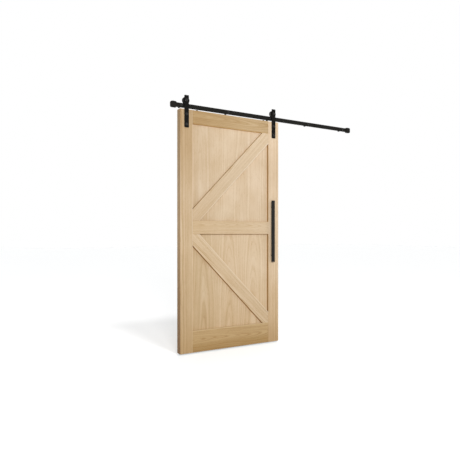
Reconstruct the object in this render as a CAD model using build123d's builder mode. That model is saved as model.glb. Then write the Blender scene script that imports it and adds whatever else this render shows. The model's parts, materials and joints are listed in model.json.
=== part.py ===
from build123d import *
from math import atan2, degrees, hypot
import os

# Sliding barn door: a framed timber leaf with braces in a K, hung by two grooved rollers
# from a flat steel track that stands off the wall on round spacers.
# Millimetres. +Z is up, +X is to the right seen from the front, and the front faces -Y.
# The origin is on the wall, at the centre of the middle spacer's back face.

# Leaf
door_width = 1000
door_height = 2040
door_thickness = 62
member_width = 114  # stiles, top rail, middle rail and braces
bottom_rail_width = 182
lower_opening_height = 815  # from the bottom rail up to the middle rail
brace_drop = 15  # from an opening's corner down or up the stile to the brace's middle line
panel_thickness = 30
groove_depth = 12  # of the grooves that hold the panels and the rails' tongues
swell_play = 2  # room for the timber to move at the ends of tongues and panels
arris = 1.2  # small chamfer along the edges in view

# Where the leaf hangs
wall_gap = 12  # from the wall to the leaf's back
track_gap = 11  # from the leaf's top to the track
rest_inset = 81  # from the track's left end to the leaf, as it stands at rest

# Track
track_length = 2000
track_height = 38
track_thickness = 6
track_edge = 0.8  # chamfer along the bar
fixing_count = 5
fixing_inset = 100  # from the track's ends to the outer fixings
spacer_radius = 10
bolt_radius = 5  # wall bolts and the bolts through the leaf
bolt_play = 0.1
bolt_head_flats = 17
bolt_head_height = 6.5

# End stops
stop_length = 50
stop_height = 50
stop_depth = 20
stop_outer_round = 12
stop_inner_round = 4
stop_play = 0.2

# Hangers
strap_width = 40
strap_thickness = 6
strap_above_axle = 41
strap_below_top = 152  # how far the strap runs down the leaf
strap_top_round = 4
strap_foot_round = 5
upper_bolt_drop = 41  # below the leaf's top
lower_bolt_drop = 126
leaf_nut_flats = 17
leaf_nut_height = 5

# Rollers
wheel_radius = 30
groove_radius = 26  # where the roller runs on the track
wheel_width = 22
groove_play = 1  # on each side of the bar
groove_flare = 2.5  # how much wider the groove is at the rim, on each side
running_gap = 0.3
hub_radius = 13
dish_depth = 3.5  # of the hollow round the hub, on the back
rim_wall = 4  # from the hollow out to the rim
axle_radius = 6
axle_play = 0.05
bushing_radius = 10
bushing_length = 4  # keeps the roller off the strap
axle_head_flats = 18
axle_head_height = 7
axle_nut_flats = 18
axle_nut_height = 8
head_edge = 1  # chamfer on the outer end of heads and nuts

# Anti-jump discs
disc_inset = 160  # from the leaf's sides
disc_radius = 10
disc_height = 6

# Handle
handle_length = 566
handle_width = 32
handle_depth = 10
handle_gap = 18  # room for fingers behind the bar
handle_height = 1024  # its middle, above the leaf's bottom
handle_shift = 17  # from the stile's middle towards the panel
handle_edge = 2  # chamfer round the bar's front
post_radius = 8
post_inset = 60  # from the bar's ends

# Levels through the thickness, from the wall out
door_back = -wall_gap
door_front = door_back - door_thickness
door_middle = (door_back + door_front) / 2
panel_back = door_middle + panel_thickness / 2
panel_front = door_middle - panel_thickness / 2
strap_front = door_front - strap_thickness
wheel_front = door_front + bushing_length
wheel_back = wheel_front + wheel_width
track_middle = wheel_front + wheel_width / 2
track_back = track_middle + track_thickness / 2
track_front = track_middle - track_thickness / 2

# Heights
door_top = -track_height / 2 - track_gap
door_bottom = door_top - door_height
lower_opening_bottom = door_bottom + bottom_rail_width
lower_opening_top = lower_opening_bottom + lower_opening_height
upper_opening_bottom = lower_opening_top + member_width
upper_opening_top = door_top - member_width
axle_height = track_height / 2 + running_gap + groove_radius
strap_top = axle_height + strap_above_axle
strap_foot = door_top - strap_below_top

# Places along the track
door_left = -track_length / 2 + rest_inset
door_centre = door_left + door_width / 2
door_right = door_centre + door_width / 2
opening_width = door_width - 2 * member_width
hanger_places = {"left": door_left + member_width / 2, "right": door_right - member_width / 2}
fixing_pitch = (track_length - 2 * fixing_inset) / (fixing_count - 1)
fixing_places = [fixing_pitch * (i - (fixing_count - 1) / 2) for i in range(fixing_count)]
bolt_heights = (door_top - upper_bolt_drop, door_top - lower_bolt_drop)

os.makedirs("parts", exist_ok=True)


def save(piece, label):
    piece.part.label = label
    export_step(piece.part, f"parts/{label}.step")


# Upright planes that face the front, at a given level through the thickness
def facing_front(level):
    return Plane.XZ.offset(-level)


# Stiles: grooved down their inner edge, and drilled for the straps' bolts
for side, sign in (("left", -1), ("right", 1)):
    inner_edge = door_centre + sign * opening_width / 2
    with BuildPart() as stile:
        with BuildSketch(Plane.XY.offset(door_bottom)) as section:
            with Locations((inner_edge + sign * member_width / 2, door_middle)):
                Rectangle(member_width, door_thickness)
            chamfer(section.vertices(), arris)
            with Locations((inner_edge, door_middle)):
                Rectangle(2 * groove_depth, panel_thickness, mode=Mode.SUBTRACT)
        extrude(amount=door_height)
        with BuildSketch(facing_front(door_back)):
            with Locations(*[(hanger_places[side], height) for height in bolt_heights]):
                Circle(bolt_radius)
        extrude(amount=door_thickness, mode=Mode.SUBTRACT)
    save(stile, f"{side}_stile")

# Rails: grooved where a panel enters, with a tongue at each end in the stiles' grooves
rails = {
    "bottom_rail": (door_bottom, lower_opening_bottom, False, True),
    "middle_rail": (lower_opening_top, upper_opening_bottom, True, True),
    "top_rail": (upper_opening_top, door_top, True, False),
}
for name, (low, high, panel_below, panel_above) in rails.items():
    tongue_low = low + groove_depth * panel_below
    tongue_high = high - groove_depth * panel_above
    tongue_length = opening_width + 2 * (groove_depth - swell_play)
    with BuildPart() as rail:
        with BuildSketch(Plane.YZ.offset(door_centre - opening_width / 2)) as section:
            with Locations((door_middle, (low + high) / 2)):
                Rectangle(door_thickness, high - low)
            chamfer(section.vertices(), arris)
            if panel_below:
                with Locations((door_middle, low)):
                    Rectangle(panel_thickness, 2 * groove_depth, mode=Mode.SUBTRACT)
            if panel_above:
                with Locations((door_middle, high)):
                    Rectangle(panel_thickness, 2 * groove_depth, mode=Mode.SUBTRACT)
        extrude(amount=opening_width)
        with BuildSketch(Plane.YZ.offset(door_centre - tongue_length / 2)):
            with Locations((door_middle, (tongue_low + tongue_high) / 2)):
                Rectangle(panel_thickness, tongue_high - tongue_low)
        extrude(amount=tongue_length)
    save(rail, name)

# Panels and braces, for each of the two openings
openings = {
    "lower": (lower_opening_bottom, lower_opening_top, -1),
    "upper": (upper_opening_bottom, upper_opening_top, 1),
}
for name, (low, high, lean) in openings.items():
    panel_low = low - groove_depth
    panel_high = high + groove_depth - swell_play
    panel_width = opening_width + 2 * (groove_depth - swell_play)
    with BuildPart() as panel:
        with BuildSketch(facing_front(panel_back)):
            with Locations((door_centre, (panel_low + panel_high) / 2)):
                Rectangle(panel_width, panel_high - panel_low)
        extrude(amount=panel_thickness)
    save(panel, f"{name}_panel")

    # A brace runs from corner to corner, planted on the panel and flush with the frame
    diagonal = hypot(opening_width, high - low)
    slope = lean * degrees(atan2(high - low - 2 * brace_drop, opening_width))
    faces = {"front": (panel_front, panel_front - door_front), "back": (door_back, door_back - panel_back)}
    for face, (level, depth) in faces.items():
        with BuildPart() as brace:
            with BuildSketch(facing_front(level)):
                with Locations((door_centre, (low + high) / 2)):
                    Rectangle(diagonal + member_width, member_width, rotation=slope)
                    Rectangle(opening_width, high - low, mode=Mode.INTERSECT)
            extrude(amount=depth)
            seen = brace.faces().sort_by(Axis.Y)[0 if face == "front" else -1]
            chamfer(seen.edges(), arris)
        save(brace, f"{name}_brace_{face}")

# Track: a flat bar with a hole at each fixing
with BuildPart() as track:
    with BuildSketch(Plane.YZ.offset(-track_length / 2)) as section:
        with Locations((track_middle, 0)):
            Rectangle(track_thickness, track_height)
        chamfer(section.vertices(), track_edge)
    extrude(amount=track_length)
    with BuildSketch(facing_front(track_back)):
        with Locations(*[(place, 0) for place in fixing_places]):
            Circle(bolt_radius)
    extrude(amount=track_thickness, mode=Mode.SUBTRACT)
save(track, "track_rail")

# A spacer and a wall bolt at each fixing
for number, place in enumerate(fixing_places, 1):
    with BuildPart() as spacer:
        with BuildSketch(facing_front(0)):
            with Locations((place, 0)):
                Circle(spacer_radius)
                Circle(bolt_radius, mode=Mode.SUBTRACT)
        extrude(amount=-track_back)
    save(spacer, f"spacer_{number}")

    with BuildPart() as wall_bolt:
        with BuildSketch(facing_front(0)):
            with Locations((place, 0)):
                Circle(bolt_radius - bolt_play)
        extrude(amount=-track_front)
        with BuildSketch(facing_front(track_front)):
            with Locations((place, 0)):
                RegularPolygon(bolt_head_flats / 2, 6, major_radius=False)
        extrude(amount=bolt_head_height)
        chamfer(wall_bolt.faces().sort_by(Axis.Y)[0].edges(), head_edge)
    save(wall_bolt, f"wall_bolt_{number}")

# End stops: blocks that slide onto the bar, with their outer corners rounded
for side, sign in (("left", -1), ("right", 1)):
    stop_middle = sign * (track_length - stop_length) / 2
    with BuildPart() as stop:
        with BuildSketch(facing_front(track_middle + stop_depth / 2)) as outline:
            with Locations((stop_middle, 0)):
                Rectangle(stop_length, stop_height)
            corners = outline.vertices().sort_by(Axis.X, reverse=sign > 0)
            fillet(corners[:2], stop_outer_round)
            fillet(outline.vertices().sort_by(Axis.X, reverse=sign < 0)[:2], stop_inner_round)
        extrude(amount=stop_depth)
        with BuildSketch(Plane.YZ.offset(stop_middle - stop_length / 2)):
            with Locations((track_middle, 0)):
                Rectangle(track_thickness + 2 * stop_play, track_height + 2 * stop_play)
        extrude(amount=stop_length, mode=Mode.SUBTRACT)
    save(stop, f"{side}_end_stop")

# Hangers: a strap on the leaf, and a grooved roller on an axle at its top
for side, place in hanger_places.items():
    with BuildPart() as strap:
        with BuildSketch(facing_front(door_front)) as outline:
            with Locations((place, (strap_top + strap_foot) / 2)):
                Rectangle(strap_width, strap_top - strap_foot)
            fillet(outline.vertices().group_by(Axis.Y)[-1], strap_top_round)
            fillet(outline.vertices().group_by(Axis.Y)[0], strap_foot_round)
            with Locations((place, axle_height)):
                Circle(axle_radius + axle_play, mode=Mode.SUBTRACT)
            with Locations(*[(place, height) for height in bolt_heights]):
                Circle(bolt_radius, mode=Mode.SUBTRACT)
        extrude(amount=strap_thickness)
    save(strap, f"{side}_strap")

    with BuildPart() as wheel:
        wheel_plane = Plane((place, track_middle, axle_height))
        half_width = wheel_width / 2
        half_groove = track_thickness / 2 + groove_play
        with BuildSketch(wheel_plane):
            with BuildLine():
                Polyline(
                    (axle_radius + axle_play, -half_width),
                    (wheel_radius, -half_width),
                    (wheel_radius, -half_groove - groove_flare),
                    (groove_radius, -half_groove),
                    (groove_radius, half_groove),
                    (wheel_radius, half_groove + groove_flare),
                    (wheel_radius, half_width),
                    (wheel_radius - rim_wall, half_width),
                    (hub_radius, half_width - dish_depth),
                    (hub_radius, half_width),
                    (axle_radius + axle_play, half_width),
                    close=True,
                )
            make_face()
        revolve(axis=Axis(wheel_plane.origin, (0, 1, 0)))
    save(wheel, f"{side}_wheel")

    with BuildPart() as axle:
        with BuildSketch(facing_front(wheel_back + axle_nut_height)):
            with Locations((place, axle_height)):
                Circle(axle_radius)
        extrude(amount=wheel_back + axle_nut_height - strap_front)
        with BuildSketch(facing_front(strap_front)):
            with Locations((place, axle_height)):
                RegularPolygon(axle_head_flats / 2, 6, major_radius=False)
        extrude(amount=axle_head_height)
        chamfer(axle.faces().sort_by(Axis.Y)[0].edges(), head_edge)
    save(axle, f"{side}_axle")

    with BuildPart() as bushing:
        with BuildSketch(facing_front(wheel_front)):
            with Locations((place, axle_height)):
                Circle(bushing_radius)
                Circle(axle_radius + axle_play, mode=Mode.SUBTRACT)
        extrude(amount=bushing_length)
    save(bushing, f"{side}_bushing")

    with BuildPart() as axle_nut:
        with BuildSketch(facing_front(wheel_back + axle_nut_height)):
            with Locations((place, axle_height)):
                RegularPolygon(axle_nut_flats / 2, 6, major_radius=False)
                Circle(axle_radius + axle_play, mode=Mode.SUBTRACT)
        extrude(amount=axle_nut_height)
    save(axle_nut, f"{side}_axle_nut")

    # Two bolts pass through the strap and the stile, into nuts on the leaf's back
    with BuildPart() as strap_bolts:
        spots = [(place, height) for height in bolt_heights]
        with BuildSketch(facing_front(door_back + leaf_nut_height)):
            with Locations(*spots):
                Circle(bolt_radius - bolt_play)
        extrude(amount=door_back + leaf_nut_height - strap_front)
        with BuildSketch(facing_front(strap_front)):
            with Locations(*spots):
                RegularPolygon(bolt_head_flats / 2, 6, major_radius=False)
        extrude(amount=bolt_head_height)
        chamfer(strap_bolts.faces().group_by(Axis.Y)[0].edges(), head_edge)
    save(strap_bolts, f"{side}_strap_bolts")

    with BuildPart() as leaf_nuts:
        with BuildSketch(facing_front(door_back + leaf_nut_height)):
            with Locations(*spots):
                RegularPolygon(leaf_nut_flats / 2, 6, major_radius=False)
                Circle(bolt_radius, mode=Mode.SUBTRACT)
        extrude(amount=leaf_nut_height)
    save(leaf_nuts, f"{side}_strap_nuts")

# Anti-jump discs on the leaf's top edge, under the track
disc_places = {"left": door_left + disc_inset, "right": door_right - disc_inset}
for side, place in disc_places.items():
    with BuildPart() as disc:
        with BuildSketch(Plane.XY.offset(door_top)):
            with Locations((place, track_middle)):
                Circle(disc_radius)
        extrude(amount=disc_height)
    save(disc, f"{side}_anti_jump_disc")

# Handle: a flat bar with softened edges on two round posts
handle_place = hanger_places["right"] - handle_shift
handle_middle = door_bottom + handle_height
handle_back = door_front - handle_gap
with BuildPart() as handle_bar:
    with BuildSketch(facing_front(handle_back)):
        with Locations((handle_place, handle_middle)):
            Rectangle(handle_width, handle_length)
    extrude(amount=handle_depth)
    chamfer(handle_bar.faces().sort_by(Axis.Y)[0].edges(), handle_edge)
save(handle_bar, "handle_bar")

post_offset = handle_length / 2 - post_inset
for name, height in (("upper", handle_middle + post_offset), ("lower", handle_middle - post_offset)):
    with BuildPart() as post:
        with BuildSketch(facing_front(door_front)):
            with Locations((handle_place, height)):
                Circle(post_radius)
        extrude(amount=handle_gap)
    save(post, f"handle_{name}_post")
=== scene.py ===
import bpy
import json
import math
from mathutils import Matrix, Vector


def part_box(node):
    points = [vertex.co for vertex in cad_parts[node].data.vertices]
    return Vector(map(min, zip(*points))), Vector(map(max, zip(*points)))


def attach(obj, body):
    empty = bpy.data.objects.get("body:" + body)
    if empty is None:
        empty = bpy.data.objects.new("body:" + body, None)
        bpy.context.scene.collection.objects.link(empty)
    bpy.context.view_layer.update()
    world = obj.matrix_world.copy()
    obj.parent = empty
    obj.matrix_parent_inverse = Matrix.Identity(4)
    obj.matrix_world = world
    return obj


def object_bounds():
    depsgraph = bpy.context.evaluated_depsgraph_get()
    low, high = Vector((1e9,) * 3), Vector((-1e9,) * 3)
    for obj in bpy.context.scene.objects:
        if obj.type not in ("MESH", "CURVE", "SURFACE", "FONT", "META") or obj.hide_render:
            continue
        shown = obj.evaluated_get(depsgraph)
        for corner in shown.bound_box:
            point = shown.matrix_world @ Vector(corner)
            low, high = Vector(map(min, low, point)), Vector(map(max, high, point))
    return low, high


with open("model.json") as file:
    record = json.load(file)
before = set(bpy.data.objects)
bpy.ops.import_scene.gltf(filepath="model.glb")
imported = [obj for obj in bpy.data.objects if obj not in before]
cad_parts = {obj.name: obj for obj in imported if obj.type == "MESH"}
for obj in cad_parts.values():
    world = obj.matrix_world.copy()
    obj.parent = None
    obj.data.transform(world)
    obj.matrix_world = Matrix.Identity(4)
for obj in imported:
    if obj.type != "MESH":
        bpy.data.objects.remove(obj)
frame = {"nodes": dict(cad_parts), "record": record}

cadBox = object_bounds()  # the box of the solids, before anything is added
nodes = frame["nodes"]
white, black = (1, 1, 1), (0, 0, 0)
print("frame loaded:", len(nodes), "nodes")


# Small helpers for node trees

def addNode(tree, kind, **settings):
    node = tree.nodes.new(kind)
    for key, value in settings.items():
        setattr(node, key, value)
    return node


def feed(tree, socket, value):
    # a socket takes a link from another socket, or a plain value
    if isinstance(value, bpy.types.NodeSocket):
        tree.links.new(value, socket)
    else:
        socket.default_value = value


def mathOf(tree, operation, *values, clamp=False):
    node = addNode(tree, "ShaderNodeMath", operation=operation, use_clamp=clamp)
    for socket, value in zip(node.inputs, values):
        feed(tree, socket, value)
    return node.outputs[0]


def vectorOf(tree, operation, *values):
    node = addNode(tree, "ShaderNodeVectorMath", operation=operation)
    for socket, value in zip(node.inputs, values):
        feed(tree, socket, value)
    return node.outputs["Value"] if operation in ("LENGTH", "DOT_PRODUCT") else node.outputs["Vector"]


def rampOf(tree, value, stops, smooth="LINEAR"):
    node = addNode(tree, "ShaderNodeValToRGB")
    ramp = node.color_ramp
    ramp.interpolation = smooth
    while len(ramp.elements) < len(stops):
        ramp.elements.new(1.0)
    for element, (place, colour) in zip(ramp.elements, stops):
        element.position = place
        element.color = (*colour, 1.0)
    feed(tree, node.inputs["Fac"], value)
    return node.outputs["Color"]


def noiseOf(tree, vector, scale, detail=2.0, rough=0.5):
    node = addNode(tree, "ShaderNodeTexNoise", noise_dimensions="3D")
    feed(tree, node.inputs["Vector"], vector)
    node.inputs["Scale"].default_value = scale
    node.inputs["Detail"].default_value = detail
    node.inputs["Roughness"].default_value = rough
    return node.outputs["Fac"]


def swingOf(tree, *noise):
    # noise about zero
    return mathOf(tree, "SUBTRACT", noiseOf(tree, *noise), 0.5)


def mixOf(tree, amount, first, second, blend="MIX"):
    mix = addNode(tree, "ShaderNodeMix", data_type="RGBA", blend_type=blend)
    feed(tree, mix.inputs["Factor"], amount)
    feed(tree, mix.inputs["A"], first)
    feed(tree, mix.inputs["B"], second if isinstance(second, bpy.types.NodeSocket) else (*second, 1.0))
    return mix.outputs["Result"]


def bumpOn(tree, shader, height, strength, depth):
    bump = addNode(tree, "ShaderNodeBump")
    bump.inputs["Strength"].default_value = strength
    bump.inputs["Distance"].default_value = depth
    feed(tree, bump.inputs["Height"], height)
    tree.links.new(bump.outputs["Normal"], shader.inputs["Normal"])


def linear(red, green, blue):
    # 0-255 screen colour to the linear colour that a shader takes
    def one(level):
        level = level / 255
        return level / 12.92 if level <= 0.04045 else ((level + 0.055) / 1.055) ** 2.4
    return one(red), one(green), one(blue)


def newMaterial(name):
    material = bpy.data.materials.new(name)
    material.use_nodes = True
    tree = material.node_tree
    return material, tree, tree.nodes["Principled BSDF"]


# Oak: rings round a leaning pith cut by the board's face, with pores and fibres along the grain.
# A grain pair is how fine a noise is, across the board and along it.

oak = {
    "pale": (228, 205, 170),
    "light": (216, 189, 150),
    "mid": (200, 169, 125),
    "dark": (168, 132, 86),
    "tones": ((0.12, "dark"), (0.42, "mid"), (0.66, "light"), (0.92, "pale")),
    "middleTone": 0.62,
    "warp": 0.022,             # how far the rings wander, in metres
    "warpGrain": (5.0, 1.3),
    "wobble": 0.0022,
    "wobbleGrain": (34.0, 5.0),
    "leafSlip": 0.5,           # how far veneer leaves are slid past each other
    "bandPace": 0.42,          # how fast the broad bands change, in a ring
    "earlyWood": [(0.0, white), (0.22, (0.75, 0.75, 0.75)), (0.42, black), (0.9, black), (1.0, white)],
    "poreGrain": (950.0, 42.0),
    "poreLimits": [(0.52, black), (0.64, white)],
    "poreDepth": 0.22,
    "latePores": 0.25,         # share of the pores that late wood has
    "fibreGrain": (210.0, 3.5),
    "fibreDepth": 0.20,
    "streakGrain": (38.0, 0.8),
    "cloudGrain": (8.0, 4.5),
    "endGrain": [(0.80, white), (0.97, (0.72, 0.72, 0.72))],  # end grain is darker
    "edgeTurn": [(0.4, black), (0.8, white)],
    "innerEdge": (0.90, 0.74, 0.50),  # edges inside the frame are tinted darker and warmer
    # painted light on the top rail's underside, which is in shade
    "undersideLight": (1.35, 1.18, 0.72),
    # painted shade on the upper brace's recess wall that faces up and left
    "revealShade": (0.54, 0.44, 0.25),
    # painted shade on the right stile's inner wall
    "stileRevealShade": (0.55, 0.41, 0.19),
    # painted shade on the edges under the middle rail and along the lower brace
    "underEdgeShade": (0.47, 0.25, 0.07),
    "topEdge": (1.0, 0.98, 0.94),
    # painted shade on the outer faces of the rails
    "outerEdgeShade": (0.93, 0.85, 0.75),
    # painted shade on the stiles' outer sides, darkest at the foot
    "stileEdgeShade": [(0.0, (0.56, 0.43, 0.26)), (0.2, (0.63, 0.50, 0.32)), (0.5, (0.97, 0.87, 0.73)),
                  (0.8, (1.04, 1.0, 0.93))],  # from the foot up
    "corner": (0.66, 0.49, 0.24),  # painted shade on the panel along the edges of the frame
    "cornerShadeWidth": 0.006,
    "arrisHighlight": 0.46,         # painted highlight on the arris that faces the light
    "arrisHighlightWidth": 0.008,
    "roughness": (0.46, 0.62),
    "specular": 0.32,
    "bump": 0.35,
    "bumpDepth": 0.0004,
    "ringDepth": 0.4,          # share of the bump that the early wood has
    "seedStep": (1.7, 0.9, 2.3),
    "bandStep": 11.0,
    "leafStep": 0.37,
}


def boardSpace(tree, board):
    # x across the board, y through it, z along the grain
    place = addNode(tree, "ShaderNodeTexCoord")
    turn = addNode(tree, "ShaderNodeMapping", vector_type="POINT")
    tilt = math.radians(board["grain"] - 90)
    rotation = Matrix.Rotation(tilt, 3, "Y")
    turn.inputs["Rotation"].default_value = (0, tilt, 0)
    turn.inputs["Location"].default_value = -(rotation @ Vector(board["centre"]))
    tree.links.new(place.outputs["Object"], turn.inputs["Vector"])
    return turn.outputs["Vector"], rotation


def stretched(tree, vector, grain):
    across, along = grain
    return vectorOf(tree, "MULTIPLY", vector, (across, across, along))


def ringsOf(tree, board, onBoard, shifted):
    # how many rings lie between the pith and a point of the board
    parts = addNode(tree, "ShaderNodeSeparateXYZ")
    tree.links.new(onBoard, parts.inputs[0])
    x, y, z = parts.outputs
    wander = swingOf(tree, stretched(tree, shifted, oak["warpGrain"]), 1.0)
    x = mathOf(tree, "MULTIPLY_ADD", wander, 2 * board.get("warp", oak["warp"]), x)
    if board.get("leaf"):
        # veneer leaves side by side, each with its own crown
        count = mathOf(tree, "MULTIPLY_ADD", x, 1 / board["leaf"], board["seed"] * oak["leafStep"])
        index = mathOf(tree, "FLOOR", count)
        fromMiddle = mathOf(tree, "SUBTRACT", mathOf(tree, "FRACT", count), 0.5)
        x = mathOf(tree, "MULTIPLY", fromMiddle, board["leaf"])
        chance = addNode(tree, "ShaderNodeTexWhiteNoise", noise_dimensions="1D")
        feed(tree, chance.inputs["W"], index)
        slip = mathOf(tree, "SUBTRACT", chance.outputs["Value"], 0.5)
        z = mathOf(tree, "MULTIPLY_ADD", slip, oak["leafSlip"], z)
    else:
        x = mathOf(tree, "ADD", x, board["offset"])
    depth = mathOf(tree, "ADD", mathOf(tree, "MULTIPLY_ADD", z, board["lean"], board["pith"]), y)
    axis = addNode(tree, "ShaderNodeCombineXYZ")
    feed(tree, axis.inputs[0], x)
    feed(tree, axis.inputs[1], depth)
    radius = vectorOf(tree, "LENGTH", axis.outputs[0])
    wobble = swingOf(tree, stretched(tree, shifted, oak["wobbleGrain"]), 1.0, 3.0)
    radius = mathOf(tree, "MULTIPLY_ADD", wobble, 2 * oak["wobble"], radius)
    return mathOf(tree, "MULTIPLY", radius, 1 / board["ring"])


def tintOf(tree, colour, tint, amount):
    # multiplies a colour by a tint where amount is 1
    return mixOf(tree, amount, colour, tint, "MULTIPLY")


def oakMaterial(name, board):
    material, tree, shader = newMaterial(name)
    onBoard, rotation = boardSpace(tree, board)
    seed = board["seed"]
    shifted = vectorOf(tree, "ADD", onBoard, tuple(seed * step for step in oak["seedStep"]))
    rings = ringsOf(tree, board, onBoard, shifted)

    # broad bands of several rings, and the porous line at the start of each ring
    bandNoise = addNode(tree, "ShaderNodeTexNoise", noise_dimensions="1D")
    bandPlace = mathOf(tree, "MULTIPLY_ADD", rings, oak["bandPace"], seed * oak["bandStep"])
    feed(tree, bandNoise.inputs["W"], bandPlace)
    bandNoise.inputs["Scale"].default_value = 1.0
    bandNoise.inputs["Detail"].default_value = 1.0
    band = mathOf(tree, "SUBTRACT", bandNoise.outputs["Fac"], 0.5)
    early = rampOf(tree, mathOf(tree, "FRACT", rings), oak["earlyWood"])

    # pores are short dark dashes in the early wood, fibres are fine streaks everywhere
    pores = noiseOf(tree, stretched(tree, shifted, oak["poreGrain"]), 1.0, 1.0)
    pores = rampOf(tree, pores, oak["poreLimits"])
    late = oak["latePores"]
    pores = mathOf(tree, "MULTIPLY", pores, mathOf(tree, "MULTIPLY_ADD", early, 1 - late, late))
    fibre = swingOf(tree, stretched(tree, shifted, oak["fibreGrain"]), 1.0, 3.0, 0.6)
    streak = swingOf(tree, stretched(tree, shifted, oak["streakGrain"]), 1.0)
    cloud = swingOf(tree, stretched(tree, shifted, oak["cloudGrain"]), 1.0)

    tone = mathOf(tree, "MULTIPLY_ADD", band, board["band"], oak["middleTone"])
    for layer, amount in ((early, -board["line"]), (pores, -oak["poreDepth"]), (fibre, oak["fibreDepth"]),
                          (streak, board["streak"]), (cloud, board["cloud"])):
        tone = mathOf(tree, "MULTIPLY_ADD", layer, amount, tone)

    parts = addNode(tree, "ShaderNodeSeparateXYZ")
    tree.links.new(onBoard, parts.inputs[0])
    if board.get("pale"):
        # painted highlight along the arris on the side that faces the light
        fromMiddle = mathOf(tree, "MULTIPLY", parts.outputs[0], board["pale"])
        inset = mathOf(tree, "SUBTRACT", board["half"], fromMiddle)
        inset = mathOf(tree, "DIVIDE", inset, oak["arrisHighlightWidth"])
        highlightMask = rampOf(tree, inset, [(0.5, white), (1.0, black)])
        tone = mathOf(tree, "MULTIPLY_ADD", highlightMask, oak["arrisHighlight"], tone)

    stops = [(place, tuple(level * share for level, share in zip(linear(*oak[key]), board["tone"])))
             for place, key in oak["tones"]]
    colour = rampOf(tree, tone, stops)

    # tone changes slowly from one end of a board to the other, and across it; these ramps also paint shade
    # towards the foot and the left, and light on the right
    upBoard = mathOf(tree, "MULTIPLY_ADD", parts.outputs[2], 0.5 / board["reach"], 0.5)
    if board.get("toneAndShadeRun"):
        colour = tintOf(tree, colour, rampOf(tree, upBoard, board["toneAndShadeRun"], "EASE"), 1.0)
    if board.get("toneAndShadeSpread"):
        acrossBoard = mathOf(tree, "DIVIDE", parts.outputs[0], 2 * board["half"])
        acrossBoard = mathOf(tree, "ADD", acrossBoard, 0.5)
        colour = tintOf(tree, colour, rampOf(tree, acrossBoard, board["toneAndShadeSpread"], "EASE"), 1.0)

    # ends across the grain are darker, and each edge has its own tint, most of them painted shade and one
    # painted light
    normal = addNode(tree, "ShaderNodeNewGeometry").outputs["Normal"]
    grainWay = rotation.inverted() @ Vector((0, 0, 1))
    ends = mathOf(tree, "ABSOLUTE", vectorOf(tree, "DOT_PRODUCT", normal, tuple(grainWay)))
    colour = tintOf(tree, colour, rampOf(tree, ends, oak["endGrain"]), 1.0)
    for way, key in board["edges"]:
        tint = rampOf(tree, upBoard, oak[key]) if isinstance(oak[key], list) else oak[key]
        turned = vectorOf(tree, "DOT_PRODUCT", normal, way)
        colour = tintOf(tree, colour, tint, rampOf(tree, turned, oak["edgeTurn"]))
    for way, start in board.get("corners", []):
        # painted shade line: from under the covering piece, past its edge, and out over the panel
        past = mathOf(tree, "SUBTRACT", vectorOf(tree, "DOT_PRODUCT", onBoard, way), start - braceHalf)
        edge = braceHalf / (braceHalf + oak["cornerShadeWidth"])
        line = rampOf(tree, mathOf(tree, "MULTIPLY", past, edge / braceHalf),
                      [(0.0, black), (0.01, white), (edge, white), (1.0, black)])
        colour = tintOf(tree, colour, oak["corner"], line)
    tree.links.new(colour, shader.inputs["Base Color"])

    low, high = oak["roughness"]
    rough = mathOf(tree, "MULTIPLY_ADD", tone, low - high, high, clamp=True)
    tree.links.new(rough, shader.inputs["Roughness"])
    shader.inputs["Specular IOR Level"].default_value = oak["specular"]
    relief = mathOf(tree, "MULTIPLY_ADD", pores, -1.0, mathOf(tree, "MULTIPLY", early, -oak["ringDepth"]))
    bumpOn(tree, shader, relief, oak["bump"], oak["bumpDepth"])
    return material


# How each board is cut: grain is the way it runs, in degrees from +X towards +Z,
# and edges are the ways that its narrow faces look, with the tint of each, mostly painted shade
stile = {"grain": 90, "ring": 0.0052, "pith": 0.055, "lean": 0.012, "offset": 0.075,
         "band": 0.34, "line": 0.10, "streak": 0.26, "cloud": 0.22}
rail = {"grain": 0, "ring": 0.0052, "pith": 0.060, "lean": 0.045, "offset": 0.02,
        "band": 0.36, "line": 0.12, "streak": 0.30, "cloud": 0.15}
panel = {"grain": 90, "ring": 0.0060, "pith": 0.075, "warp": 0.040, "edges": []}
brace = {"ring": 0.0052, "pith": 0.060, "lean": 0.020, "offset": 0.050,
         "streak": 0.30, "cloud": 0.20, "pale": 1}


def middleOf(name):
    low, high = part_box(name)
    return (Vector(low) + Vector(high)) / 2


def slopeOf(name):
    # the way that a brace's longest edge runs
    data = nodes[name].data
    edges = [data.vertices[b].co - data.vertices[a].co for a, b in (edge.vertices for edge in data.edges)]
    edges = [edge for edge in edges if abs(edge.y) < 1e-6]
    longest = max(edges, key=lambda edge: edge.length)
    return math.degrees(math.atan2(longest.z, longest.x)) % 180


def acrossOf(name, grain):
    # half the board's size across the grain, and half along it
    low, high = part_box(name)
    size = Vector(high) - Vector(low)
    return (size.x / 2, size.z / 2) if grain == 90 else (size.z / 2, size.x / 2)


def edgesOf(angle, tint, oppositeTint):
    # the narrow face that looks along an angle from +X towards +Z, and the one opposite
    way = Vector((math.cos(math.radians(angle)), 0, math.sin(math.radians(angle))))
    return [(tuple(way), tint), (tuple(-way), oppositeTint)]


def cornersOf(panelName, *covers):
    # for each covering piece, the way that its edge looks and how far out the edge lies
    centre = middleOf(panelName)
    corners = []
    for name, way in covers:
        reach = max(vertex.co.dot(Vector(way)) for vertex in nodes[name].data.vertices)
        corners.append((way, reach - centre.dot(Vector(way))))
    return corners


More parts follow.
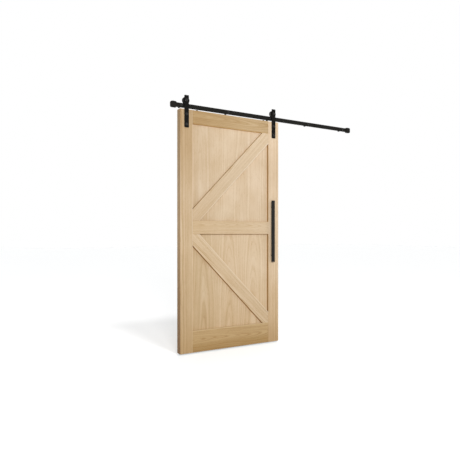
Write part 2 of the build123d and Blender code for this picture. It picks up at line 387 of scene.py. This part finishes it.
braceHalf = acrossOf("left_stile", 90)[0]  # braces are as wide as the stiles
braceReach = Vector(acrossOf("upper_brace_front", 90)).length
upperSlope, lowerSlope = slopeOf("upper_brace_front"), slopeOf("lower_brace_front")
upperBrace = {**brace, "grain": upperSlope, "half": braceHalf, "reach": braceReach,
              "tone": (1.04, 1.11, 1.29), "band": 0.34, "line": 0.10,
              "edges": edgesOf(upperSlope + 90, "revealShade", "innerEdge"),
              "toneAndShadeRun": [(0.0, (0.85, 0.80, 0.73)), (0.5, (0.95, 0.94, 0.93)), (1.0, (1.06, 1.06, 1.07))]}
lowerBrace = {**brace, "grain": lowerSlope, "half": braceHalf, "reach": braceReach,
              "tone": (0.96, 0.99, 1.08), "band": 0.60, "line": 0.16, "warp": 0.045,
              "edges": edgesOf(lowerSlope + 90, "underEdgeShade", "topEdge")}
besideStile = ("right_stile", (-1, 0, 0))
# a board's tone is partly painted light: the right stile is made brighter for the light that falls brighter
# on the right
boards = {
    "left_stile": {**stile, "tone": (0.91, 0.92, 0.97), "seed": 1.0, "band": 0.42, "warp": 0.035,
                   "edges": edgesOf(0, "innerEdge", "stileEdgeShade"), "pale": 1,
                   "toneAndShadeRun": [(0.0, (0.79, 0.71, 0.56)), (0.2, (0.90, 0.865, 0.80)), (0.45, white),
                           (0.62, (0.98, 0.975, 0.98)), (0.85, (0.84, 0.79, 0.71)),
                           (1.0, (0.80, 0.74, 0.64))]},
    "right_stile": {**stile, "tone": (1.125, 1.19, 1.40), "seed": 2.0, "offset": -0.08,
                    "edges": edgesOf(180, "stileRevealShade", "stileEdgeShade"),
                    "toneAndShadeRun": [(0.0, (0.70, 0.61, 0.46)), (0.18, (0.86, 0.81, 0.72)),
                            (0.35, (0.96, 0.95, 0.92)), (0.6, (1.01, 1.01, 1.01)),
                            (0.75, (0.93, 0.91, 0.88)), (0.95, (1.05, 1.05, 1.06))]},
    "top_rail": {**rail, "tone": (0.805, 0.772, 0.70), "seed": 3.0, "band": 0.5, "warp": 0.05,
                 "edges": edgesOf(90, "outerEdgeShade", "undersideLight"),
                 "toneAndShadeRun": [(0.0, (0.82, 0.755, 0.64)), (0.3, (0.89, 0.855, 0.78)), (0.7, white)]},
    "middle_rail": {**rail, "tone": (1.03, 1.08, 1.22), "seed": 4.0, "band": 0.22, "line": 0.08,
                    "streak": 0.2, "edges": edgesOf(90, "topEdge", "underEdgeShade"),
                    "toneAndShadeRun": [(0.0, (0.90, 0.863, 0.79)), (0.45, (0.925, 0.90, 0.85)), (1.0, white)]},
    "bottom_rail": {**rail, "tone": (0.785, 0.74, 0.63), "seed": 5.0, "band": 0.6, "line": 0.2,
                    "warp": 0.05, "edges": edgesOf(90, "topEdge", "outerEdgeShade"), "pale": -1,
                    "toneAndShadeSpread": [(0.0, white), (0.45, (0.95, 0.93, 0.89)), (0.75, (0.82, 0.765, 0.63)),
                               (1.0, (0.79, 0.72, 0.565))]},
    "upper_panel": {**panel, "tone": (1.07, 1.14, 1.35), "seed": 6.0, "leaf": 0.42, "lean": 0.025,
                    "band": 0.24, "line": 0.035, "streak": 0.13, "cloud": 0.42,
                    "toneAndShadeSpread": [(0.0, (0.86, 0.835, 0.79)), (0.5, (0.975, 0.97, 0.96)),
                               (1.0, (1.03, 1.03, 1.04))],
                    "toneAndShadeRun": [(0.0, (0.95, 0.94, 0.91)), (0.4, white)],
                    "corners": cornersOf("upper_panel", besideStile)},
    "lower_panel": {**panel, "tone": (1.075, 1.135, 1.30), "seed": 7.0, "leaf": 0.25, "lean": 0.050,
                    "band": 0.46, "line": 0.05, "streak": 0.14, "cloud": 0.32,
                    "toneAndShadeSpread": [(0.0, (0.79, 0.75, 0.66)), (0.55, (0.945, 0.93, 0.91)), (1.0, white)],
                    "toneAndShadeRun": [(0.0, (0.92, 0.88, 0.81)), (0.7, white)],
                    "corners": cornersOf("lower_panel", besideStile, ("middle_rail", (0, 0, -1)),
                                         ("lower_brace_front", lowerBrace["edges"][0][0]))},
    "upper_brace_front": {**upperBrace, "seed": 8.0},
    "lower_brace_front": {**lowerBrace, "seed": 9.0},
    "upper_brace_back": {**upperBrace, "seed": 10.0},
    "lower_brace_back": {**lowerBrace, "seed": 11.0},
}


def dress(name, material):
    data = nodes[name].data
    data.materials.clear()
    data.materials.append(material)


for name, board in boards.items():
    half, reach = acrossOf(name, board["grain"])
    board = {"half": half, "reach": reach, **board, "centre": middleOf(name)}
    dress(name, oakMaterial("oak_" + name, board))
print("oak on", len(boards), "boards")


# Black powder coat and the fixings

steel = {"grain": 1400.0,      # specks per metre of the powder's texture
         "cloudGrain": 9.0, "speckShare": 0.45, "bump": 0.3}
coat = {"dark": (19, 18, 17), "light": (26, 25, 23), "roughness": (0.42, 0.58), "specular": 0.05,
        "bumpDepth": 0.0002}
fixing = {"dark": (24, 23, 22), "light": (31, 30, 28), "roughness": (0.22, 0.34), "specular": 0.36,
          "bumpDepth": 0.0001}
# a lighter copy of the coat on the track, stops and spacers: painted light for the highlight along the track
litTrackCoat = {**coat, "dark": (29, 28, 26), "light": (36, 35, 32)}
handle = {**coat, "dark": (36, 35, 34), "light": (42, 41, 39), "specular": 0.08}
roller = {"dark": (23, 22, 21), "light": (30, 29, 27), "roughness": (0.32, 0.48), "specular": 0.14,
          "bumpDepth": 0.0001, "bare": (118, 114, 108), "tread": 0.026, "treadEdge": 0.0009,
          "treadHalf": 0.0042, "scuffGrain": 120.0, "scuff": 0.5}


def blackMaterial(name, finish):
    material, tree, shader = newMaterial(name)
    place = addNode(tree, "ShaderNodeTexCoord").outputs["Object"]
    speck = noiseOf(tree, place, steel["grain"], 2.0)
    cloud = noiseOf(tree, place, steel["cloudGrain"], 3.0)
    share = steel["speckShare"]
    mixed = mathOf(tree, "MULTIPLY_ADD", speck, share, mathOf(tree, "MULTIPLY", cloud, 1 - share))
    colour = rampOf(tree, mixed, [(0.32, linear(*finish["dark"])), (0.68, linear(*finish["light"]))])
    tree.links.new(colour, shader.inputs["Base Color"])
    low, high = finish["roughness"]
    tree.links.new(mathOf(tree, "MULTIPLY_ADD", mixed, high - low, low), shader.inputs["Roughness"])
    shader.inputs["Specular IOR Level"].default_value = finish["specular"]
    bumpOn(tree, shader, speck, steel["bump"], finish["bumpDepth"])
    return material


def rollerMaterial(name, axle):
    # satin black, worn to bare steel where the groove rolls on the track
    material = blackMaterial(name, roller)
    tree = material.node_tree
    shader = tree.nodes["Principled BSDF"]
    place = addNode(tree, "ShaderNodeTexCoord").outputs["Object"]
    fromAxle = vectorOf(tree, "SUBTRACT", place, axle)
    arm = vectorOf(tree, "MULTIPLY", fromAxle, (1, 0, 1))
    past = mathOf(tree, "SUBTRACT", vectorOf(tree, "LENGTH", arm), roller["tread"])
    past = mathOf(tree, "DIVIDE", past, roller["treadEdge"])
    scuff = swingOf(tree, place, roller["scuffGrain"], 3.0)
    past = mathOf(tree, "MULTIPLY_ADD", scuff, roller["scuff"], past)
    worn = rampOf(tree, past, [(0.5, white), (1.0, black)])
    aside = mathOf(tree, "ABSOLUTE", vectorOf(tree, "DOT_PRODUCT", fromAxle, (0, 1, 0)))
    aside = mathOf(tree, "DIVIDE", aside, roller["treadHalf"])
    worn = mathOf(tree, "MULTIPLY", worn, rampOf(tree, aside, [(0.8, white), (1.0, black)]))
    paint = shader.inputs["Base Color"].links[0].from_socket
    bared = mixOf(tree, worn, paint, linear(*roller["bare"]))
    tree.links.new(bared, shader.inputs["Base Color"])
    tree.links.new(worn, shader.inputs["Metallic"])
    return material


fixingBlack = blackMaterial("black_fixing", fixing)
litTrackBlack = blackMaterial("black_track_painted_light", litTrackCoat)
handleBlack = blackMaterial("black_handle", handle)
bySlot = {"black_steel": blackMaterial("black_powder_coat", coat), "black_fixings": fixingBlack}
for part in frame["record"]["subparts"]:
    if part["material_slot"] in bySlot:
        dress(part["node"], bySlot[part["material_slot"]])
for name in ("handle_bar", "handle_upper_post", "handle_lower_post"):
    dress(name, handleBlack)
spacerNumbers = range(1, 6)
spacers = [f"spacer_{number}" for number in spacerNumbers]
for name in ["track_rail", "left_end_stop", "right_end_stop"] + spacers:
    dress(name, litTrackBlack)
for name in ("left_wheel", "right_wheel"):
    dress(name, rollerMaterial("black_" + name, tuple(middleOf(name))))
print("black finishes on the track, hangers and handle")


# Washers and socket screws by Geometry Nodes, one mesh of each for a body

washers = {"Hole radius": 0.0045, "Outer radius": 0.0125, "Thickness": 0.0016, "Edge": 0.0004}
screws = {"Head radius": 0.0055, "Head height": 0.0030, "Chamfer": 0.0008, "Socket radius": 0.0029,
          "Socket depth": 0.0018, "Seed": 4}
steps = {"washer": 40, "washerEdge": 2, "head": 36, "socket": 6}  # sides of each round
facings = {"front": (math.pi / 2, 0, 0), "back": (-math.pi / 2, 0, 0), "up": (0, 0, 0)}
sharpAngle = math.radians(35)


def newTree(name, sizes):
    tree = bpy.data.node_groups.new(name, "GeometryNodeTree")
    tree.interface.new_socket("Places", in_out="INPUT", socket_type="NodeSocketGeometry")
    for label, size in sizes.items():
        kind = "NodeSocketInt" if isinstance(size, int) else "NodeSocketFloat"
        tree.interface.new_socket(label, in_out="INPUT", socket_type=kind)
    tree.interface.new_socket("Finish", in_out="INPUT", socket_type="NodeSocketMaterial")
    tree.interface.new_socket("Fasteners", in_out="OUTPUT", socket_type="NodeSocketGeometry")
    return tree, addNode(tree, "NodeGroupInput").outputs


def attributeOf(tree, name, kind):
    node = addNode(tree, "GeometryNodeInputNamedAttribute", data_type=kind)
    node.inputs["Name"].default_value = name
    return next(socket for socket in node.outputs if socket.enabled and socket.name == "Attribute")


def putOnPlaces(tree, given, shape, spin=None):
    # one at each place, turned the way it faces, then plain mesh with its finish
    turn = addNode(tree, "FunctionNodeEulerToRotation")
    feed(tree, turn.inputs[0], attributeOf(tree, "facing", "FLOAT_VECTOR"))
    rotation = turn.outputs[0]
    if spin is not None:
        about = addNode(tree, "FunctionNodeAxisAngleToRotation")
        about.inputs["Axis"].default_value = (0, 0, 1)
        feed(tree, about.inputs["Angle"], spin)
        both = addNode(tree, "FunctionNodeRotateRotation", rotation_space="LOCAL")
        feed(tree, both.inputs[0], rotation)
        feed(tree, both.inputs[1], about.outputs[0])
        rotation = both.outputs[0]
    copies = addNode(tree, "GeometryNodeInstanceOnPoints")
    feed(tree, copies.inputs["Points"], given["Places"])
    feed(tree, copies.inputs["Instance"], shape)
    feed(tree, copies.inputs["Rotation"], rotation)
    feed(tree, copies.inputs["Scale"], attributeOf(tree, "size", "FLOAT"))
    real = addNode(tree, "GeometryNodeRealizeInstances")
    feed(tree, real.inputs["Geometry"], copies.outputs["Instances"])
    finish = addNode(tree, "GeometryNodeSetMaterial")
    feed(tree, finish.inputs["Geometry"], real.outputs["Geometry"])
    feed(tree, finish.inputs["Material"], given["Finish"])
    feed(tree, addNode(tree, "NodeGroupOutput").inputs["Fasteners"], finish.outputs["Geometry"])


def liftOf(tree, shape, height):
    shift = addNode(tree, "ShaderNodeCombineXYZ")
    feed(tree, shift.inputs["Z"], height)
    lift = addNode(tree, "GeometryNodeTransform")
    feed(tree, lift.inputs["Geometry"], shape)
    feed(tree, lift.inputs["Translation"], shift.outputs[0])
    return lift.outputs["Geometry"]


def washerTree():
    # a rounded bar section swept round a circle
    tree, given = newTree("washer", washers)
    ring = addNode(tree, "GeometryNodeCurvePrimitiveCircle")
    ring.inputs["Resolution"].default_value = steps["washer"]
    across = mathOf(tree, "ADD", given["Outer radius"], given["Hole radius"])
    feed(tree, ring.inputs["Radius"], mathOf(tree, "MULTIPLY", across, 0.5))
    section = addNode(tree, "GeometryNodeCurvePrimitiveQuadrilateral")
    feed(tree, section.inputs["Width"], mathOf(tree, "SUBTRACT", given["Outer radius"], given["Hole radius"]))
    feed(tree, section.inputs["Height"], given["Thickness"])
    soft = addNode(tree, "GeometryNodeFilletCurve", mode="POLY")
    feed(tree, soft.inputs["Curve"], section.outputs["Curve"])
    soft.inputs["Count"].default_value = steps["washerEdge"]
    feed(tree, soft.inputs["Radius"], given["Edge"])
    sweep = addNode(tree, "GeometryNodeCurveToMesh")
    feed(tree, sweep.inputs["Curve"], ring.outputs["Curve"])
    feed(tree, sweep.inputs["Profile Curve"], soft.outputs["Curve"])
    raised = liftOf(tree, sweep.outputs["Mesh"], mathOf(tree, "MULTIPLY", given["Thickness"], 0.5))
    putOnPlaces(tree, given, raised)
    return tree


def screwTree():
    # a chamfered round head with a hexagon socket, each turned to its own angle
    tree, given = newTree("socket_screw", screws)
    straight = mathOf(tree, "SUBTRACT", given["Head height"], given["Chamfer"])
    barrel = addNode(tree, "GeometryNodeMeshCylinder")
    feed(tree, barrel.inputs["Radius"], given["Head radius"])
    feed(tree, barrel.inputs["Depth"], straight)
    crown = addNode(tree, "GeometryNodeMeshCone")
    topRadius = mathOf(tree, "SUBTRACT", given["Head radius"], given["Chamfer"])
    feed(tree, crown.inputs["Radius Bottom"], given["Head radius"])
    feed(tree, crown.inputs["Radius Top"], topRadius)
    feed(tree, crown.inputs["Depth"], given["Chamfer"])
    for turned in (barrel, crown):
        turned.inputs["Vertices"].default_value = steps["head"]
    socket = addNode(tree, "GeometryNodeMeshCylinder")
    socket.inputs["Vertices"].default_value = steps["socket"]
    feed(tree, socket.inputs["Radius"], given["Socket radius"])
    feed(tree, socket.inputs["Depth"], mathOf(tree, "MULTIPLY", given["Socket depth"], 2.0))
    head = addNode(tree, "GeometryNodeMeshBoolean", operation="UNION", solver="EXACT")
    barrelRaised = liftOf(tree, barrel.outputs["Mesh"], mathOf(tree, "MULTIPLY", straight, 0.5))
    for half in (barrelRaised, liftOf(tree, crown.outputs["Mesh"], straight)):
        tree.links.new(half, head.inputs["Mesh 2"])
    drilled = addNode(tree, "GeometryNodeMeshBoolean", operation="DIFFERENCE", solver="EXACT")
    tree.links.new(head.outputs["Mesh"], drilled.inputs["Mesh 1"])
    tree.links.new(liftOf(tree, socket.outputs["Mesh"], given["Head height"]), drilled.inputs["Mesh 2"])
    spin = addNode(tree, "FunctionNodeRandomValue", data_type="FLOAT")
    feed(tree, spin.inputs["Seed"], given["Seed"])
    amount = next(output for output in spin.outputs if output.enabled)
    putOnPlaces(tree, given, drilled.outputs["Mesh"], mathOf(tree, "MULTIPLY", amount, math.pi))
    return tree


def fastenAll(name, tree, sizes, places, body):
    mesh = bpy.data.meshes.new(name)
    mesh.from_pydata([place for place, facing, size in places], [], [])
    ways = [part for place, facing, size in places for part in facings[facing]]
    scales = [size for place, facing, size in places]
    mesh.attributes.new("facing", "FLOAT_VECTOR", "POINT").data.foreach_set("vector", ways)
    mesh.attributes.new("size", "FLOAT", "POINT").data.foreach_set("value", scales)
    piece = bpy.data.objects.new(name, mesh)
    modifier = piece.modifiers.new("fasteners", "NODES")
    modifier.node_group = tree
    values = {**sizes, "Finish": fixingBlack}
    for socket in tree.interface.items_tree:
        if socket.in_out == "INPUT" and socket.name in values:
            modifier[socket.identifier] = values[socket.name]
    bpy.context.collection.objects.link(piece)
    graph = bpy.context.evaluated_depsgraph_get()
    plain = bpy.data.meshes.new_from_object(piece.evaluated_get(graph))
    piece.modifiers.clear()
    piece.data = plain
    plain.materials.pop(index=0)  # the empty slot that the tree's own shapes bring
    plain.name = name
    plain.shade_smooth()
    plain.set_sharp_from_angle(angle=sharpAngle)
    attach(piece, body)
    print(name, "on", body + ":", len(places), "places,", len(plain.polygons), "faces")


def frontOf(name):
    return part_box(name)[0][1]


def backOf(name):
    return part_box(name)[1][1]


def topOf(name):
    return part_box(name)[1][2]


def boltLevels(name):
    # the heights of the two bolts in a strap's pair
    low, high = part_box(name)
    return low[2] + boltHead / 2, high[2] - boltHead / 2


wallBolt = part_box("wall_bolt_1")
boltHead = wallBolt[1][2] - wallBolt[0][2]  # across the flats, which are level
washerScale = {"bolt": 1.0, "axle": 1.08, "wood": 1.3, "handle": 0.72}
screwScale = {"stop": 1.0, "disc": 0.7, "handle": 1.0}

trackWashers, stopScrews = [], []
for number in spacerNumbers:
    bolt = middleOf(f"wall_bolt_{number}")
    trackWashers.append(((bolt.x, frontOf("track_rail"), bolt.z), "front", washerScale["bolt"]))
for name in ("left_end_stop", "right_end_stop"):
    stop = middleOf(name)
    stopScrews.append(((stop.x, stop.y, topOf(name)), "up", screwScale["stop"]))

doorWashers, doorScrews = [], []
leafBack = backOf("left_stile")
for hand in ("left", "right"):
    strapFace = frontOf(hand + "_strap")
    axle = middleOf(hand + "_axle")
    doorWashers.append(((axle.x, strapFace, axle.z), "front", washerScale["axle"]))
    for level in boltLevels(hand + "_strap_bolts"):
        doorWashers.append(((axle.x, strapFace, level), "front", washerScale["bolt"]))
        doorWashers.append(((axle.x, leafBack, level), "back", washerScale["wood"]))
    discName = hand + "_anti_jump_disc"
    disc = middleOf(discName)
    doorScrews.append(((disc.x, disc.y, topOf(discName)), "up", screwScale["disc"]))
for name in ("handle_upper_post", "handle_lower_post"):
    post = middleOf(name)
    onWasher = leafBack + washerScale["handle"] * washers["Thickness"]
    doorWashers.append(((post.x, leafBack, post.z), "back", washerScale["handle"]))
    doorScrews.append(((post.x, onWasher, post.z), "back", screwScale["handle"]))

washerShape, screwShape = washerTree(), screwTree()
fastenAll("track_washers", washerShape, washers, trackWashers, "track")
fastenAll("stop_screws", screwShape, screws, stopScrews, "track")
fastenAll("door_washers", washerShape, washers, doorWashers, "door")
fastenAll("door_screws", screwShape, screws, doorScrews, "door")


# Floor and surround: white to the eye, with the door's own shadow kept on the floor

surround = {
    "ambient": 0.50,
    "slant": 0.8,
    "floorDrop": 0.010,
    "floorSize": 60.0,
    "floorColour": (0.60, 0.60, 0.60),
    "floorGlow": (0.33, 0.38, 0.40),
    "sheen": (0.18, 0.13, 0.11),
    "sheenRough": 0.30,
}


def seenRays(tree):
    rays = addNode(tree, "ShaderNodeLightPath").outputs
    seen = mathOf(tree, "ADD", rays["Is Camera Ray"], rays["Is Glossy Ray"])
    return mathOf(tree, "ADD", seen, rays["Is Transmission Ray"], clamp=True)


def floorMaterial():
    material = bpy.data.materials.new("white_floor")
    material.use_nodes = True
    tree = material.node_tree
    tree.nodes.clear()
    diffuse = addNode(tree, "ShaderNodeBsdfDiffuse")
    diffuse.inputs["Color"].default_value = (*surround["floorColour"], 1.0)
    glow = addNode(tree, "ShaderNodeEmission")
    glow.inputs["Color"].default_value = (*surround["floorGlow"], 1.0)
    sheen = addNode(tree, "ShaderNodeBsdfGlossy")
    sheen.inputs["Color"].default_value = (*surround["sheen"], 1.0)
    sheen.inputs["Roughness"].default_value = surround["sheenRough"]
    total = diffuse.outputs[0]
    for layer in (glow, sheen):
        both = addNode(tree, "ShaderNodeAddShader")
        tree.links.new(total, both.inputs[0])
        tree.links.new(layer.outputs[0], both.inputs[1])
        total = both.outputs[0]
    # only the eye sees the glow and the sheen, and the light that the floor throws back stays plain
    split = addNode(tree, "ShaderNodeMixShader")
    feed(tree, split.inputs[0], seenRays(tree))
    tree.links.new(diffuse.outputs[0], split.inputs[1])
    tree.links.new(total, split.inputs[2])
    tree.links.new(split.outputs[0], addNode(tree, "ShaderNodeOutputMaterial").inputs["Surface"])
    return material


def whiteFloor():
    half = surround["floorSize"] / 2
    level = cadBox[0][2] - surround["floorDrop"]
    corners = [(x * half, y * half, level) for x, y in ((-1, -1), (1, -1), (1, 1), (-1, 1))]
    mesh = bpy.data.meshes.new("floor")
    mesh.from_pydata(corners, [], [(0, 1, 2, 3)])
    mesh.materials.append(floorMaterial())
    floor = bpy.data.objects.new("floor", mesh)
    bpy.context.collection.objects.link(floor)
    return floor


def whiteWorld():
    world = bpy.data.worlds.new("white_surround")
    bpy.context.scene.world = world
    world.use_nodes = True
    tree = world.node_tree
    background = tree.nodes["Background"]
    background.inputs["Color"].default_value = (*white, 1)
    # dimmer on the left, so that the leaf's left side is in shade
    way = addNode(tree, "ShaderNodeTexCoord").outputs["Generated"]
    slant = vectorOf(tree, "DOT_PRODUCT", way, (surround["slant"], 0, 0))
    light = mathOf(tree, "MULTIPLY_ADD", slant, surround["ambient"], surround["ambient"])
    rise = mathOf(tree, "SUBTRACT", 1.0, light)
    feed(tree, background.inputs["Strength"], mathOf(tree, "MULTIPLY_ADD", seenRays(tree), rise, light))


floor = whiteFloor()
whiteWorld()


# Lamps: soft boxes by the camera and behind the door, and a sun that reaches the floor alone, for the shadow

keyBox = {"power": 378.0, "place": (-3.2, -7.7, 1.7), "aim": (-0.42, -0.07, -1.0), "size": 1.6}
backBox = {"power": 150.0, "place": (0.4, 5.0, 0.8), "aim": (-0.42, -0.01, -1.0), "size": 2.0}
floorSun = {"power": 1.25, "height": 52.0, "side": 5.0, "soft": 10.0}  # angles in degrees


def addLamp(name, kind, place, aim, **settings):
    data = bpy.data.lights.new(name, kind)
    for key, value in settings.items():
        setattr(data, key, value)
    lamp = bpy.data.objects.new(name, data)
    lamp.location = place
    lamp.rotation_euler = (Vector(aim) - Vector(place)).to_track_quat("-Z", "Y").to_euler()
    bpy.context.collection.objects.link(lamp)
    return lamp


def addBox(name, box):
    return addLamp(name, "AREA", box["place"], box["aim"], energy=box["power"], shape="SQUARE",
                   size=box["size"])


def addSun(name, sun):
    height, side = math.radians(sun["height"]), math.radians(sun["side"])
    level = math.cos(height)
    place = Vector((math.sin(side) * level, -math.cos(side) * level, math.sin(height))) * 5
    return addLamp(name, "SUN", place, (0, 0, 0), energy=sun["power"], angle=math.radians(sun["soft"]))


def linkToFloor(lamp, name, state):
    # INCLUDE lights the floor alone, EXCLUDE lights all but the floor
    lit = bpy.data.collections.new(name)
    lit.objects.link(floor)
    lit.collection_objects[0].light_linking.link_state = state
    lamp.light_linking.receiver_collection = lit


addBox("key_box", keyBox)
linkToFloor(addBox("back_box", backBox), "all_but_floor", "EXCLUDE")
linkToFloor(addSun("floor_sun", floorSun), "floor_alone", "INCLUDE")


# Camera at the photograph's place

view = {"eye": (-2.481, -3.587, -1.070), "turn": 30.13, "lens": 36.13, "sensor": 36.0, "rise": 0.0082}
cameraData = bpy.data.cameras.new("camera")
cameraData.sensor_width = view["sensor"]
cameraData.lens = view["lens"]
cameraData.shift_y = view["rise"]
camera = bpy.data.objects.new("camera", cameraData)
camera.location = view["eye"]
camera.rotation_euler = (math.radians(90), 0, -math.radians(view["turn"]))
bpy.context.collection.objects.link(camera)
bpy.context.scene.camera = camera
bpy.context.scene.view_settings.view_transform = "Standard"
print("floor, lamps and camera set")
